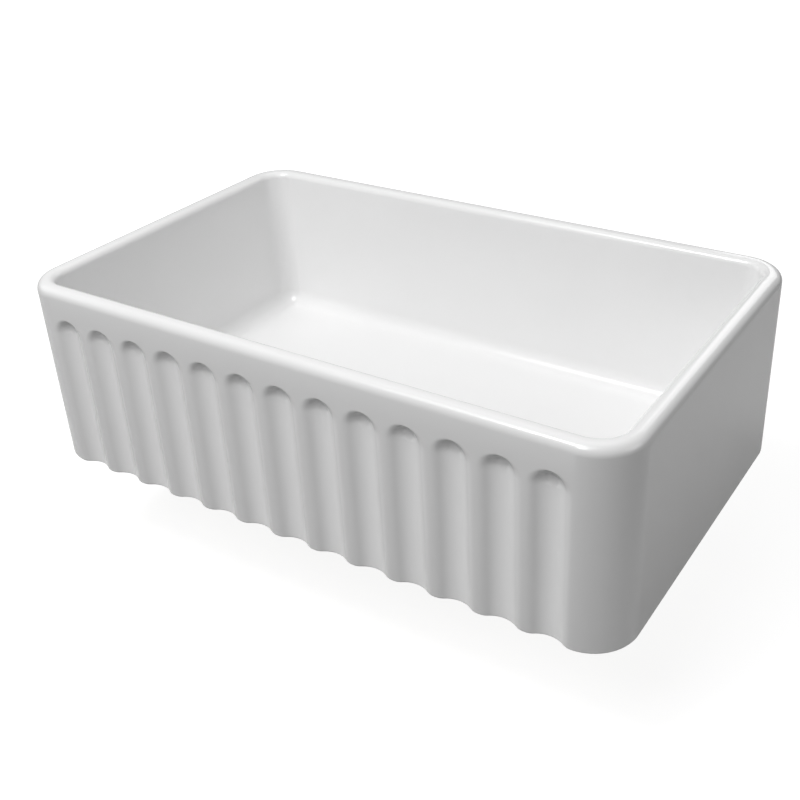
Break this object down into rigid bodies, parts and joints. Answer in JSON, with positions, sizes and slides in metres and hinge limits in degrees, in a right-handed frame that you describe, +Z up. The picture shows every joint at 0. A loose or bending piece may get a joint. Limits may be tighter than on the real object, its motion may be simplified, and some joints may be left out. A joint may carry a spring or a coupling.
{
  "type": "farmhouse apron front sink",
  "caption": "Deep single-bowl fireclay kitchen sink with a fluted apron front, round-cornered rim and a basket strainer waste.",
  "frame": {"origin": "middle of the casting's underside, where it stands on the cabinet's support", "axes": "+Z up, the fluted apron faces -Y, +X is to the right of someone who stands in front of the apron"},
  "size_m": [0.838, 0.508, 0.4122],
  "materials": {
    "glaze": "gloss white glaze on fireclay",
    "stainless": "satin",
    "plated_brass": "chrome-plated brass",
    "cast_zinc": "zinc-plated casting, matte",
    "black_rubber": "moulded",
    "gasket_foam": "white sealing ring, matte",
    "fibre_board": "pressed fibre",
    "white_nylon": "moulded nylon"
  },
  "bodies": {
    "sink": {"sink_body": "glaze", "flange_gasket": "gasket_foam", "strainer_cup": "stainless", "sink_gasket": "black_rubber", "friction_ring": "fibre_board", "locknut": "cast_zinc", "outlet_nipple": "plated_brass", "tailpiece_washer": "white_nylon", "tailpiece": "plated_brass", "coupling_nut": "plated_brass"},
    "basket": {"basket_cup": "stainless", "hub_sleeve": "plated_brass", "hub_washer": "white_nylon", "hub_nut": "plated_brass", "grip_ring": "black_rubber"},
    "stopper": {"stopper_post": "stainless", "lift_knob": "plated_brass", "stopper_retainer": "stainless", "stopper_seal": "black_rubber", "seal_nut": "plated_brass"}
  },
  "joints": [
    {"name": "basket_lift", "type": "slide", "parent": "sink", "child": "basket", "axis": [0, 0, 1], "range_m": [0, 0.08]},
    {"name": "stopper_lift", "type": "slide", "parent": "basket", "child": "stopper", "axis": [0, 0, 1], "range_m": [0, 0.008]}
  ]
}
